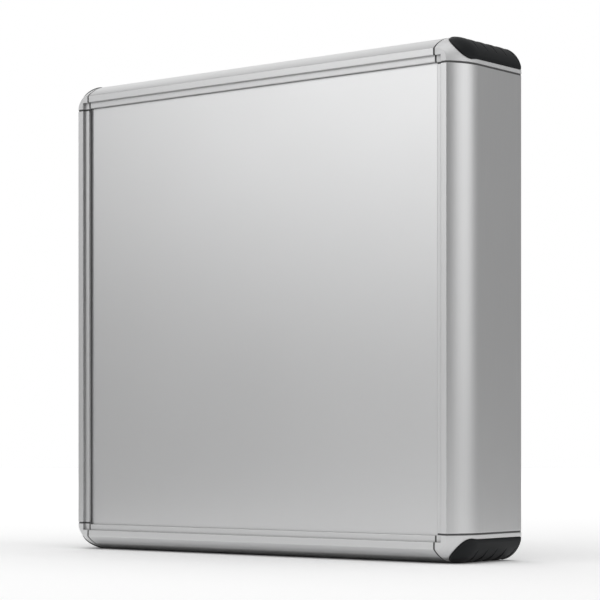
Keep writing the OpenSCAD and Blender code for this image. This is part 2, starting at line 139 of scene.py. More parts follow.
def extrusion_tree():
    """Rounds the corners of a flat section, fills it and pulls it to a length."""
    inputs = [("Length", "NodeSocketFloat"), ("Finish", "NodeSocketMaterial")]
    tree, entry, out = geometry_tree("Extruded section", inputs)
    to_curve = tree_node(tree, "GeometryNodeMeshToCurve")
    radius = tree_node(tree, "GeometryNodeInputNamedAttribute", {"Name": "edge_radius"}, data_type="FLOAT")
    fillet = tree_node(tree, "GeometryNodeFilletCurve", {"Count": 4, "Limit Radius": True}, mode="POLY")
    fill = tree_node(tree, "GeometryNodeFillCurve", mode="TRIANGLES")
    along = tree_node(tree, "ShaderNodeCombineXYZ")
    pull = tree_node(tree, "GeometryNodeExtrudeMesh", {"Individual": False}, mode="FACES")
    flip = tree_node(tree, "GeometryNodeFlipFaces")
    join = tree_node(tree, "GeometryNodeJoinGeometry")
    weld = tree_node(tree, "GeometryNodeMergeByDistance", {"Distance": weld_gap})
    link = tree.links.new
    link(entry.outputs["Geometry"], to_curve.inputs["Mesh"])
    link(to_curve.outputs["Curve"], fillet.inputs["Curve"])
    link(radius.outputs["Attribute"], fillet.inputs["Radius"])
    link(fillet.outputs["Curve"], fill.inputs["Curve"])
    link(fill.outputs["Mesh"], pull.inputs["Mesh"])
    link(entry.outputs["Length"], along.inputs["Z"])
    link(along.outputs["Vector"], pull.inputs["Offset"])
    link(fill.outputs["Mesh"], flip.inputs["Mesh"])
    link(flip.outputs["Mesh"], join.inputs["Geometry"])
    link(pull.outputs["Mesh"], join.inputs["Geometry"])
    link(join.outputs["Geometry"], weld.inputs["Geometry"])
    end_tree(tree, weld.outputs["Geometry"], entry.outputs["Finish"], out)
    return tree


def grown(blank, tree, values):
    """A blank object run through a tree once, given back as a plain mesh."""
    grow = blank.modifiers.new("grow", "NODES")
    grow.node_group = tree
    for item in tree.interface.items_tree:
        if item.in_out == "INPUT" and item.name in values:
            grow[item.identifier] = values[item.name]
    graph = bpy.context.evaluated_depsgraph_get()
    mesh = bpy.data.meshes.new_from_object(blank.evaluated_get(graph), depsgraph=graph)
    blank.modifiers.remove(grow)
    bpy.data.objects.remove(blank)
    return mesh


def extruded(loops, length, finish):
    """Loops of points with edge radii, pulled to a length along Z."""
    verts, edges, rounds = [], [], []
    for loop in loops:
        first = len(verts)
        verts += [(u, y, 0.0) for u, y, _ in loop]
        rounds += [radius for _, _, radius in loop]
        edges += [(first + i, first + (i + 1) % len(loop)) for i in range(len(loop))]
    outline = bpy.data.meshes.new("section")
    outline.from_pydata(verts, edges, [])
    outline.attributes.new("edge_radius", "FLOAT", "POINT").data.foreach_set("value", rounds)
    blank = bpy.data.objects.new("section", outline)
    scene.collection.objects.link(blank)
    return grown(blank, section_tree, {"Length": length, "Finish": finish})


def on_side(name, start):
    """Turns a section drawn as in, back and along into its place on one side of the frame."""
    along_x = name in ("profile_top", "profile_bottom")
    inward = 1 if name in ("profile_left", "profile_bottom") else -1
    if along_x:
        foot = 0 if inward > 0 else top
        return Matrix(((0, 0, 1, start), (0, 1, 0, front), (inward, 0, 0, foot), (0, 0, 0, 1)))
    return Matrix(((inward, 0, 0, -inward * half_width), (0, 1, 0, front), (0, 0, 1, start), (0, 0, 0, 1)))


def moved(mesh, place):
    mesh.transform(place)
    if place.determinant() < 0:
        mesh.flip_normals()
    return mesh


def finished(name, mesh, body, material, replaced=(), sharp=radians(32)):
    """A plain-mesh piece with even shading on its flats, riding on a body in place of CAD nodes."""
    for polygon in mesh.polygons:
        polygon.use_smooth = True
    mesh.set_sharp_from_angle(angle=sharp)
    piece = bpy.data.objects.new(name, mesh)
    scene.collection.objects.link(piece)
    even = piece.modifiers.new("even_flats", "WEIGHTED_NORMAL")
    even.keep_sharp = True
    even.weight = 80
    graph = bpy.context.evaluated_depsgraph_get()
    piece.data = bpy.data.meshes.new_from_object(piece.evaluated_get(graph), depsgraph=graph)
    piece.data.name = name
    piece.modifiers.clear()
    bpy.data.meshes.remove(mesh)
    piece.data.materials.clear()
    piece.data.materials.append(material)
    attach(piece, body)
    if replaced:
        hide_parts(*replaced)
    return piece


def shader_group(name, inputs, outputs):
    tree = bpy.data.node_groups.new(name, "ShaderNodeTree")
    for label, kind, value in inputs:
        tree.interface.new_socket(label, in_out="INPUT", socket_type=kind).default_value = value
    for label, kind in outputs:
        tree.interface.new_socket(label, in_out="OUTPUT", socket_type=kind)
    return tree, tree.nodes.new("NodeGroupInput"), tree.nodes.new("NodeGroupOutput")


def grain_group():
    """Fine grain, stretched along a direction where it is drawn, and a slow cloud over the piece."""
    inputs = [("Stretch", "NodeSocketVector", (1, 1, 1)), ("Grain Scale", "NodeSocketFloat", 900.0),
              ("Cloud Scale", "NodeSocketFloat", 9.0)]
    outputs = [("Grain", "NodeSocketFloat"), ("Cloud", "NodeSocketFloat")]
    tree, entry, out = shader_group("Surface grain", inputs, outputs)
    place = tree_node(tree, "ShaderNodeTexCoord")
    stretch = tree_node(tree, "ShaderNodeVectorMath", operation="MULTIPLY")
    grain = tree_node(tree, "ShaderNodeTexNoise", {"Detail": 3.0, "Roughness": 0.6})
    cloud = tree_node(tree, "ShaderNodeTexNoise", {"Detail": 3.0, "Roughness": 0.5})
    link = tree.links.new
    link(place.outputs["Object"], stretch.inputs[0])
    link(entry.outputs["Stretch"], stretch.inputs[1])
    link(stretch.outputs["Vector"], grain.inputs["Vector"])
    link(entry.outputs["Grain Scale"], grain.inputs["Scale"])
    link(place.outputs["Object"], cloud.inputs["Vector"])
    link(entry.outputs["Cloud Scale"], cloud.inputs["Scale"])
    link(grain.outputs["Fac"], out.inputs["Grain"])
    link(cloud.outputs["Fac"], out.inputs["Cloud"])
    return tree


def edge_group():
    """Rounded edges: their normal, and a mask of where it turns away from the true one, used to paint
    highlights on the edges.
    """
    inputs = [("Radius", "NodeSocketFloat", 0.0006), ("Gain", "NodeSocketFloat", 6.0)]
    outputs = [("Edge", "NodeSocketFloat"), ("Normal", "NodeSocketVector")]
    tree, entry, out = shader_group("Edge wear", inputs, outputs)
    soft = tree_node(tree, "ShaderNodeBevel", samples=6)
    true = tree_node(tree, "ShaderNodeNewGeometry")
    dot = tree_node(tree, "ShaderNodeVectorMath", operation="DOT_PRODUCT")
    turn = tree_node(tree, "ShaderNodeMath", {0: 1.0}, operation="SUBTRACT")
    gain = tree_node(tree, "ShaderNodeMath", operation="MULTIPLY", use_clamp=True)
    link = tree.links.new
    link(entry.outputs["Radius"], soft.inputs["Radius"])
    link(soft.outputs["Normal"], dot.inputs[0])
    link(true.outputs["Normal"], dot.inputs[1])
    link(dot.outputs["Value"], turn.inputs[1])
    link(turn.outputs["Value"], gain.inputs[0])
    link(entry.outputs["Gain"], gain.inputs[1])
    link(gain.outputs["Value"], out.inputs["Edge"])
    link(soft.outputs["Normal"], out.inputs["Normal"])
    return tree


def recess_shade_group():
    """A painted-shade mask: 1 on open faces, falling to 0 in steps, joints and inside corners where shade
    falls.
    """
    inputs = [("Reach", "NodeSocketFloat", 0.006), ("Deep", "NodeSocketFloat", 0.35),
              ("Open", "NodeSocketFloat", 0.88)]
    tree, entry, out = shader_group("Recess dirt", inputs, [("Clean", "NodeSocketFloat")])
    near = tree_node(tree, "ShaderNodeAmbientOcclusion", samples=8)
    spread = tree_node(tree, "ShaderNodeMapRange", interpolation_type="SMOOTHSTEP")
    link = tree.links.new
    link(entry.outputs["Reach"], near.inputs["Distance"])
    link(near.outputs["AO"], spread.inputs["Value"])
    link(entry.outputs["Deep"], spread.inputs["From Min"])
    link(entry.outputs["Open"], spread.inputs["From Max"])
    link(spread.outputs["Result"], out.inputs["Clean"])
    return tree


grain_tree, edge_tree, recess_shade_tree = grain_group(), edge_group(), recess_shade_group()


def spread_value(tree, value, low, high):
    spread = tree_node(tree, "ShaderNodeMapRange", {"To Min": low, "To Max": high})
    tree.links.new(value, spread.inputs["Value"])
    return spread.outputs["Result"]


def mixed(tree, factor, first, second):
    """A colour between two, each given as a colour or as another node's output."""
    factor_in, first_in, second_in, colour_out = 0, 6, 7, 2
    mix = tree_node(tree, "ShaderNodeMix", data_type="RGBA")
    tree.links.new(factor, mix.inputs[factor_in])
    for place, colour in ((first_in, first), (second_in, second)):
        if isinstance(colour, tuple):
            mix.inputs[place].default_value = (*colour, 1)
        else:
            tree.links.new(colour, mix.inputs[place])
    return mix.outputs[colour_out]


def surface(name, dark, light, edge_highlight_colour, rough, grain_scale, bump, metallic=1.0, specular=0.5,
            stretch=(1, 1, 1), cloud_scale=9.0, edge_radius=0.0005, dirt=0.42):
    """A finish with grain in its colour, gloss and bump, painted highlights on its edges and painted shade
    in its recesses.
    """
    cloud_gloss = 0.02
    mat = bpy.data.materials.new(name)
    mat.use_nodes = True
    tree = mat.node_tree
    shader = tree.nodes["Principled BSDF"]
    shader.inputs["Metallic"].default_value = metallic
    shader.inputs["Specular IOR Level"].default_value = specular
    grain = tree_node(tree, "ShaderNodeGroup", node_tree=grain_tree)
    grain.inputs["Stretch"].default_value = stretch
    grain.inputs["Grain Scale"].default_value = grain_scale
    grain.inputs["Cloud Scale"].default_value = cloud_scale
    edge = tree_node(tree, "ShaderNodeGroup", node_tree=edge_tree)
    edge.inputs["Radius"].default_value = edge_radius
    colour = mixed(tree, grain.outputs["Grain"], dark, light)
    # Painted highlight: the colour turns lighter along the rounded edges.
    colour = mixed(tree, edge.outputs["Edge"], colour, edge_highlight_colour)
    # Painted shade: an occlusion mask darkens the colour in steps, joints and inside corners.
    if dirt < 1:
        recess = tree_node(tree, "ShaderNodeGroup", node_tree=recess_shade_tree)
        colour = mixed(tree, recess.outputs["Clean"], tuple(dirt * c for c in dark), colour)
    tree.links.new(colour, shader.inputs["Base Color"])
    gloss = tree_node(tree, "ShaderNodeMath", operation="ADD")
    tree.links.new(spread_value(tree, grain.outputs["Grain"], rough[0], rough[1]), gloss.inputs[0])
    tree.links.new(spread_value(tree, grain.outputs["Cloud"], -cloud_gloss, cloud_gloss), gloss.inputs[1])
    tree.links.new(gloss.outputs["Value"], shader.inputs["Roughness"])
    relief = tree_node(tree, "ShaderNodeBump", {"Strength": 1.0, "Distance": bump})
    tree.links.new(grain.outputs["Grain"], relief.inputs["Height"])
    tree.links.new(edge.outputs["Normal"], relief.inputs["Normal"])
    tree.links.new(relief.outputs["Normal"], shader.inputs["Normal"])
    return mat


def anodised(name, stretch):
    return surface(name, (0.71, 0.712, 0.715), (0.77, 0.772, 0.775), (0.86, 0.86, 0.86), (0.37, 0.45),
                   grain_scale=1500, bump=4e-6, stretch=stretch)


die_lines = 0.012
upright_finish = anodised("anodised_upright", (1, 1, die_lines))
level_finish = anodised("anodised_level", (die_lines, 1, 1))
section_tree = extrusion_tree()
profile_ends = {}
for name in profiles:
    low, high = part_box(name)
    if name in ("profile_left", "profile_right"):
        finish, ends = upright_finish, (low.z, high.z)
    else:
        finish, ends = level_finish, (low.x, high.x)
    profile_ends[name] = ends
    mesh = moved(extruded(profile_section(), ends[1] - ends[0], finish), on_side(name, ends[0]))
    finished(name + "_extrusion", mesh, "frame", finish, [name])

# Corner castings and their screws
# Pressure die-cast quarter-rounds with a fine silver powder coat. They close the profile ends and
# are drawn against them by plated screws sunk in the recess under each cap.
corners = [(sx, sz, f"{'top' if sz > 0 else 'bottom'}_{'left' if sx < 0 else 'right'}")
           for sx in (-1, 1) for sz in (-1, 1)]
corner_radius = 21.7 * MM
joint_gap = top - corner_radius - profile_ends["profile_left"][1]


def dress(names, material):
    """Gives CAD nodes that keep their shape their finish."""
    for name in names:
        nodes[name].data.materials.clear()
        nodes[name].data.materials.append(material)


silver_coat = surface("silver_powder_coat", (0.82, 0.822, 0.825), (0.87, 0.872, 0.875),
                      (0.91, 0.91, 0.91), (0.46, 0.56), grain_scale=1400, bump=1.0e-5, metallic=0.55,
                      cloud_scale=40, edge_radius=0.0008, dirt=0.5)
dress([f"corner_{where}" for _, _, where in corners], silver_coat)
zinc_plate = surface("zinc_plate", (0.50, 0.51, 0.52), (0.60, 0.61, 0.62), (0.75, 0.75, 0.76), (0.26, 0.40),
                     grain_scale=700, bump=4e-6, edge_radius=0.0003)
dress(["corner_screws"], zinc_plate)

# Joint seals
# Thin strips of black rubber cord pressed into the groove between each casting and the profile
# end beside it. They lie below the metal, so each joint shows as a dark line.
seal_rubber = surface("seal_rubber", (0.13, 0.13, 0.132), (0.17, 0.17, 0.172), (0.19, 0.19, 0.19),
                      (0.6, 0.8), grain_scale=1200, bump=2e-5, metallic=0.0, specular=0.3, dirt=1.0)
seal_sunk, seal_thick = 0.5 * MM, 1.2 * MM
seal_rear_gap, seal_lip_gap = 0.2 * MM, 0.3 * MM


def seal_path(inward):
    """One face of the strip: in from the rear, round the cheek and over the rim and lip."""
    arc = cheek_arc(cheek_depth, inward, steps=16, inward=inward)
    face = [(inward, depth - seal_rear_gap, 0.0), *arc]
    face += [(lip_u - inward, inward, 0.0), (lip_u - inward, rim_step + inward, 0.0)]
    return face + [(open_u - seal_lip_gap, rim_step + inward, 0.0)]


strip_loop = seal_path(seal_sunk) + seal_path(seal_sunk + seal_thick)[::-1]
strips = bmesh.new()
for name in profiles:
    for start in (profile_ends[name][0] - joint_gap, profile_ends[name][1]):
        strip = moved(extruded([strip_loop], joint_gap, seal_rubber), on_side(name, start))
        strips.from_mesh(strip)
        bpy.data.meshes.remove(strip)
mesh = bpy.data.meshes.new("joint_seals")
strips.to_mesh(mesh)
strips.free()
finished("joint_seals", mesh, "frame", seal_rubber)

# Corner caps
# Injection-moulded black caps with a fine spark-eroded grain, clipped into the recess of each
# casting over its screws. Cushion ribs stand across the rear half.
cap_half, cap_front, cap_thick, cap_proud = 12.7 * MM, 8 * MM, 2.5 * MM, 0.8 * MM
cap_round, cap_sharp = 0.6 * MM, radians(40)
cap_columns, cap_tip_rows, cap_row_step = 48, 28, 0.5 * MM
rib_start, rib_pitch, rib_count = 30 * MM, 12.9 * MM, 4
rib_sag, rib_depth = 1.2 * MM, 1.3 * MM
rib_groove, rib_shallow, rib_deep = 0.7 * MM, radians(45), radians(80)
rib_shift = rib_depth / (sin(rib_deep) - sin(rib_shallow))
rib_ring = corner_radius + cap_proud + rib_shift * sin(rib_shallow)
rib_arc = (rib_pitch ** 2 / 4 + rib_sag ** 2) / (2 * rib_sag)


def cap_radius(angle, y):
    """Outside radius about the corner axis, held in the frame's box, with the ribs cut in."""
    plain = min(corner_radius - cheek_u(y, -cap_proud), corner_radius / max(cos(angle), sin(angle)))
    if y < rib_start:
        return plain
    middle = rib_start + (min(int((y - rib_start) / rib_pitch), rib_count) + 0.5) * rib_pitch
    ring = rib_ring + rib_sag - rib_arc + sqrt(rib_arc ** 2 - (y - middle) ** 2)
    ring -= max(abs(y - middle) - rib_pitch / 2 + rib_groove, 0)
    cut = -rib_shift * sin(angle) + sqrt(ring ** 2 - (rib_shift * cos(angle)) ** 2)
    return min(plain, cut)


def cap_rows():
    """Depths of the rows: close together round the front end, with one row in each rib groove."""
    turns = [pi / 2 * i / cap_tip_rows for i in range(1, cap_tip_rows + 1)]
    tip = [cap_front + cap_half * (1 - cos(turn)) for turn in turns]
    grooves = [rib_start + k * rib_pitch for k in range(rib_count + 1)]
    stops = [tip[-1], *grooves, depth - cap_round, depth]
    rows = list(tip)
    for y0, y1 in zip(stops, stops[1:]):
        steps = max(2, round((y1 - y0) / cap_row_step))
        rows += [y0 + (y1 - y0) * i / steps for i in range(1, steps + 1)]
    return rows


def cap_mesh(sx, sz, name):
    """A shell between an outer and an inner skin, joined round its edge."""
    straight = cap_front + cap_half
    shell = bmesh.new()
    outer, inner = [], []
    for y in cap_rows():
        half = cap_half if y >= straight else sqrt(max(cap_half ** 2 - (straight - y) ** 2, 0))
        faces = ([], [])
        for i in range(cap_columns + 1):
            t = half * sin(pi / 2 * (2 * i / cap_columns - 1))
            reach = cap_half - (abs(t) if y >= straight else sqrt(t * t + (straight - y) ** 2))
            reach = min(reach, depth - y)
            drop = cap_round - sqrt(max(cap_round ** 2 - max(cap_round - reach, 0) ** 2, 0))
            angle = pi / 4 + asin(t / (corner_radius - cheek_u(y)))
            radii = (cap_radius(angle, y) - drop, corner_radius - cap_thick - cheek_u(y))
            for face, r in zip(faces, radii):
                x = sx * (half_width - corner_radius + r * cos(angle))
                z = top / 2 + sz * (top / 2 - corner_radius + r * sin(angle))
                face.append(shell.verts.new((x, front + y, z)))
        outer.append(faces[0])
        inner.append(faces[1])
    for rows in (outer, inner):
        for a, b in zip(rows, rows[1:]):
            for i in range(cap_columns):
                shell.faces.new((a[i], a[i + 1], b[i + 1], b[i]))
    for a, b, c, d in zip(outer, outer[1:], inner, inner[1:]):
        shell.faces.new((a[0], b[0], d[0], c[0]))
        shell.faces.new((a[-1], c[-1], d[-1], b[-1]))
    for end in (0, -1):
        for i in range(cap_columns):
            shell.faces.new((outer[end][i], inner[end][i], inner[end][i + 1], outer[end][i + 1]))
    bmesh.ops.remove_doubles(shell, verts=shell.verts, dist=weld_gap)
    bmesh.ops.recalc_face_normals(shell, faces=shell.faces)
    mesh = bpy.data.meshes.new(name)
    shell.to_mesh(mesh)
    shell.free()
    return mesh


cap_black = surface("grained_black_plastic", (0.018, 0.0192, 0.0205), (0.024, 0.0254, 0.027),
                    (0.04, 0.04, 0.04), (0.30, 0.40), grain_scale=2600, bump=3e-6, metallic=0.0,
                    specular=0.1, cloud_scale=40, edge_radius=0.0004, dirt=0.5)
for sx, sz, where in corners:
    mesh = cap_mesh(sx, sz, f"cap_{where}_moulding")
    finished(mesh.name, mesh, "frame", cap_black, [f"cap_{where}"], cap_sharp)

# Front plate and its seal
# An aluminium sheet, fine blasted and clear anodised, drawn up behind the lip against a flat
# rubber ring by clamps.
def rounded_sheet(low, high, radius, name):
    sheet = bmesh.new()
    bmesh.ops.create_cube(sheet, size=1.0)
    bmesh.ops.scale(sheet, vec=high - low, verts=sheet.verts)
    bmesh.ops.translate(sheet, vec=(low + high) / 2, verts=sheet.verts)
    bmesh.ops.bevel(sheet, geom=sheet.edges[:], offset=radius, segments=3, profile=0.5, affect="EDGES")
    mesh = bpy.data.meshes.new(name)
    sheet.to_mesh(mesh)
    sheet.free()
    return mesh


plate_edge = 0.4 * MM
plate_finish = surface("blasted_front_sheet", (0.74, 0.742, 0.745), (0.80, 0.802, 0.805),
                       (0.86, 0.86, 0.86), (0.31, 0.39), grain_scale=2600, bump=3e-6,
                       edge_radius=0.0003, dirt=1.0)
mesh = rounded_sheet(*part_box("front_plate"), plate_edge, "front_plate_sheet")
finished(mesh.name, mesh, "frame", plate_finish, ["front_plate"])
seal_back, seal_round = 0.1 * MM, 0.3 * MM
seal_low, seal_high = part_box("front_seal_ring")
ring_outer = [(seal_low.x, seal_low.z, 0.0), (seal_high.x, seal_low.z, 0.0),
              (seal_high.x, seal_high.z, 0.0), (seal_low.x, seal_high.z, 0.0)]
opening_x, opening_z = half_width - open_u + seal_back, top / 2 - open_u + seal_back
ring_inner = [(x * opening_x, top / 2 + z * opening_z, seal_round)
              for x, z in ((-1, -1), (1, -1), (1, 1), (-1, 1))]
mesh = extruded([ring_outer, ring_inner], seal_high.y - seal_low.y, seal_rubber)
moved(mesh, Matrix(((1, 0, 0, 0), (0, 0, 1, seal_low.y), (0, 1, 0, 0), (0, 0, 0, 1))))
finished("front_seal_flat", mesh, "frame", seal_rubber, ["front_seal_ring"])

# Plate clamps and their screws
# Bent straps of plated steel that press the plate forward, each held on the ledge of the profile
# by a slotted pan-head screw.
clamp_offset, clamp_length = 100 * MM, 20 * MM
clamp_sheet, clamp_u, clamp_leg_u = 2.5 * MM, 6 * MM, 22 * MM
clamp_edge, clamp_inner_bend, clamp_outer_bend = 0.4 * MM, 1.2 * MM, 3 * MM
plate_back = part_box("front_plate")[1].y - front
clamp_screw_u = 11 * MM
screw_radius, screw_tip, screw_bevel = 2 * MM, 1.5 * MM, 0.6 * MM
slot_half_wide, slot_side_draft, slot_end_draft = 0.5 * MM, 0.05 * MM, 0.1 * MM
pan_length, pan_radius, pan_side, pan_height = 10 * MM, 3.8 * MM, 0.9 * MM, 2.6 * MM
pan_foot_radius, pan_foot_bevel = 3.7 * MM, 0.15 * MM
pan_crown = [(3.55 * MM, 1.7 * MM), (3 * MM, 2.3 * MM), (2.85 * MM, pan_height)]
pan_slot_half, pan_slot_deep = 2.5 * MM, 1.1 * MM


def copies_tree():
    """Puts a copy of a piece on each point, turned as the point says."""
    inputs = [("Piece", "NodeSocketObject"), ("Finish", "NodeSocketMaterial")]
    tree, entry, out = geometry_tree("Placed copies", inputs)
    piece = tree_node(tree, "GeometryNodeObjectInfo")
    turn = tree_node(tree, "GeometryNodeInputNamedAttribute", {"Name": "turn"}, data_type="FLOAT_VECTOR")
    rotation = tree_node(tree, "FunctionNodeEulerToRotation")
    place = tree_node(tree, "GeometryNodeInstanceOnPoints")
    link = tree.links.new
    link(entry.outputs["Piece"], piece.inputs["Object"])
    link(turn.outputs["Attribute"], rotation.inputs["Euler"])
    link(entry.outputs["Geometry"], place.inputs["Points"])
    link(piece.outputs["Geometry"], place.inputs["Instance"])
    link(rotation.outputs["Rotation"], place.inputs["Rotation"])
    end_tree(tree, place.outputs["Instances"], entry.outputs["Finish"], out)
    return tree


copy_tree = copies_tree()


def copies(mesh, spots, finish):
    """One mesh of like pieces, from the piece's mesh and a list of places and turns."""
    pattern = bpy.data.objects.new("pattern", mesh)
    scene.collection.objects.link(pattern)
    points = bpy.data.meshes.new("spots")
    points.from_pydata([place for place, _ in spots], [], [])
    turns = [value for _, turn in spots for value in turn]
    points.attributes.new("turn", "FLOAT_VECTOR", "POINT").data.foreach_set("vector", turns)
    blank = bpy.data.objects.new("spots", points)
    scene.collection.objects.link(blank)
    joined = grown(blank, copy_tree, {"Piece": pattern, "Finish": finish})
    bpy.data.objects.remove(pattern)
    return joined


def ringed(name, rings, steps=48):
    """A closed solid through rings about Z, each a radius or a function of the angle, and a height."""
    solid = bmesh.new()
    loops = []
    for radius, height in rings:
        loop = []
        for i in range(steps):
            angle = 2 * pi * i / steps
            r = radius(angle) if callable(radius) else radius
            loop.append(solid.verts.new((r * cos(angle), r * sin(angle), height)))
        loops.append(loop)
    for a, b in zip(loops, loops[1:]):
        for i in range(steps):
            j = (i + 1) % steps
            solid.faces.new((a[i], a[j], b[j], b[i]))
    solid.faces.new(loops[0][::-1])
    solid.faces.new(loops[-1])
    mesh = bpy.data.meshes.new(name)
    solid.to_mesh(mesh)
    solid.free()
    return mesh


def slot_shape(half_long, half_wide):
    """A straight slot as a radius about the screw axis."""
    least = 1e-6
    return lambda a: min(half_wide / max(abs(cos(a)), least), half_long / max(abs(sin(a)), least))


def shank_rings(length, neck):
    """The plain shank of a screw, bevelled at its tip, up to the neck under the head."""
    return [(screw_tip, -length), (screw_radius, screw_bevel - length), (screw_radius, neck)]


def slot_rings(half_long, height, deep):
    """A driver slot that narrows a little towards its floor."""
    floor_shape = slot_shape(half_long - slot_end_draft, slot_half_wide - slot_side_draft)
    return [(slot_shape(half_long, slot_half_wide), height), (floor_shape, height - deep)]


clamp_fold, clamp_end = ledge_back + clamp_sheet, clamp_leg_u + clamp_sheet
clamp_loop = [(clamp_u, ledge_back, clamp_edge), (clamp_leg_u, ledge_back, clamp_inner_bend),
              (clamp_leg_u, plate_back, clamp_edge), (clamp_end, plate_back, clamp_edge),
              (clamp_end, clamp_fold, clamp_outer_bend), (clamp_u, clamp_fold, clamp_edge)]
strap = extruded([clamp_loop], clamp_length, zinc_plate)
strap.transform(Matrix.Translation((0, 0, -clamp_length / 2)))
sides = [(Vector((-half_width, front, top / 2)), 0.0), (Vector((half_width, front, top / 2)), pi),
         (Vector((0, front, 0)), -pi / 2), (Vector((0, front, top)), pi / 2)]
spots = []
for foot, turn in sides:
    along = Vector((sin(turn), 0, cos(turn)))
    spots += [(foot + along * (s * clamp_offset), (0, turn, 0)) for s in (-1, 1)]
mesh = copies(strap, spots, zinc_plate)
finished("plate_clamp_straps", mesh, "frame", zinc_plate, ["plate_clamps"])

pan_rings = shank_rings(pan_length, 0.0)
pan_rings += [(pan_foot_radius, 0.0), (pan_radius, pan_foot_bevel), (pan_radius, pan_side), *pan_crown]
pan_rings += slot_rings(pan_slot_half, pan_height, pan_slot_deep)
pan_screw = ringed("pan_screw", pan_rings)
pan_screw.transform(Matrix.Rotation(-pi / 2, 4, "X"))
screw_spots = []
for (place, turn), (_, angle) in zip(spots, [side for side in sides for _ in range(2)]):
    inward = Vector((cos(angle), 0, -sin(angle)))
    screw_spots.append((place + inward * clamp_screw_u + Vector((0, clamp_fold, 0)), turn))
mesh = copies(pan_screw, screw_spots, zinc_plate)
finished("clamp_pan_screws", mesh, "frame", zinc_plate, ["clamp_screws"])

# Rear door and its seal
# A brushed and anodised aluminium sheet with rounded corners, sunk in the rear of the frame. A
# square rubber seal is bonded round its inner edge.
brush_lines = 0.008
door_finish = surface("brushed_door_sheet", (0.66, 0.662, 0.665), (0.76, 0.762, 0.765),
                      (0.84, 0.84, 0.84), (0.32, 0.44), grain_scale=1700, bump=5e-6,
                      stretch=(1, 1, brush_lines), edge_radius=0.0005, dirt=0.6)
dress(["rear_door"], door_finish)
dress(["door_seal"], seal_rubber)

# Hinges
# Zinc castings with a black powder coat on turned steel pins. The leaves are held by countersunk
# slotted screws, one leaf of each pair on the frame and one on the door.
black_coat = surface("black_powder_coat", (0.020, 0.020, 0.021), (0.030, 0.030, 0.031),
                     (0.06, 0.06, 0.06), (0.34, 0.46), grain_scale=1500, bump=1.2e-5, metallic=0.0,
                     specular=0.4, cloud_scale=40, edge_radius=0.0006, dirt=0.6)
hinge_leaves = [f"{side}_leaf_{end}" for side in ("frame", "door") for end in ("upper", "lower")]
dress(hinge_leaves, black_coat)
dress(["hinge_pins"], zinc_plate)

sunk_length, sunk_neck, sunk_slot_half, sunk_slot_deep = 6 * MM, 2 * MM, 2.9 * MM, 0.8 * MM
sunk_radius, sunk_rim = 3.6 * MM, 3.5 * MM
sunk_low, sunk_middle, sunk_top = 0.35 * MM, 0.2 * MM, 0.1 * MM
leaf_thick, slot_turn = 2.5 * MM, 0.4
sunk_rings = shank_rings(sunk_length, -sunk_neck)
sunk_rings += [(sunk_rim, -sunk_low), (sunk_radius, -sunk_middle), (sunk_rim, -sunk_top)]
sunk_rings += slot_rings(sunk_slot_half, -sunk_top, sunk_slot_deep)
sunk_screw = ringed("sunk_screw", sunk_rings)
sunk_screw.transform(Matrix.Rotation(-pi / 2, 4, "X"))
leaf_screws = {"frame": (5.5 * MM, 21 * MM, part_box("frame_leaf_upper")[0].y),
               "door": (26 * MM, 18 * MM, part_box("rear_door")[1].y)}
for side, (inward, apart, seat) in leaf_screws.items():
    spots = []
    for end in ("upper", "lower"):
        low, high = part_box(f"{side}_leaf_{end}")
        middle = Vector((-half_width + inward, seat + leaf_thick, (low.z + high.z) / 2))
        spots += [(middle + Vector((0, 0, s * apart)), (0, s * slot_turn, 0)) for s in (-1, 1)]
    mesh = copies(sunk_screw.copy(), spots, zinc_plate)
    finished(f"{side}_leaf_sunk_screws", mesh, side, zinc_plate, [f"{side}_leaf_screws"])

# Quarter-turn latches
# Black-coated zinc barrels held through the door by hexagon nuts, moulded wing knobs, and plated
# cams that turn behind the seat of the frame.
dress(["latch_barrel_upper", "latch_barrel_lower"], black_coat)
dress(["latch_nut_upper", "latch_nut_lower", "cam_screw_upper", "cam_screw_lower",
       "latch_cam_upper", "latch_cam_lower"], zinc_plate)
knob_black = surface("knob_black_plastic", (0.012, 0.012, 0.012), (0.018, 0.018, 0.018),
                     (0.03, 0.03, 0.03), (0.34, 0.44), grain_scale=2200, bump=1.0e-5, metallic=0.0,
                     specular=0.35, cloud_scale=40, edge_radius=0.0006, dirt=0.6)
knob_wide, knob_span, knob_waist, knob_round = 8 * MM, 28 * MM, 0.7 * MM, 1.6 * MM
knob_steps, crown_steps, knob_sharp = 240, 5, radians(40)
stem_radius, stem_bevel, stem_gap = 5.9 * MM, 0.5 * MM, 0.1 * MM
hub_radius, hub_bevel, hub_gap, hub_rise = 10 * MM, 0.5 * MM, 0.5 * MM, 4 * MM
hub_round, hub_cut = 1 * MM, 0.3 * MM
mark_half, mark_half_wide, mark_deep, mark_draft = 12 * MM, 0.6 * MM, 0.6 * MM, 0.2 * MM


def wing(drop):
    """Plan of the knob's wing about its axis: rounded ends, and sides drawn in for the fingers."""
    half_wide, half_span = knob_wide / 2 - drop, knob_span / 2

    def reach(angle):
        x, z = abs(cos(angle)), abs(sin(angle))
        if half_wide * z <= half_span * x:
            return (half_wide - knob_waist * (1 - (half_wide * z / (half_span * x)) ** 2)) / x
        return half_span * z + sqrt(max(half_wide ** 2 - (half_span * x) ** 2, 0))

    return reach


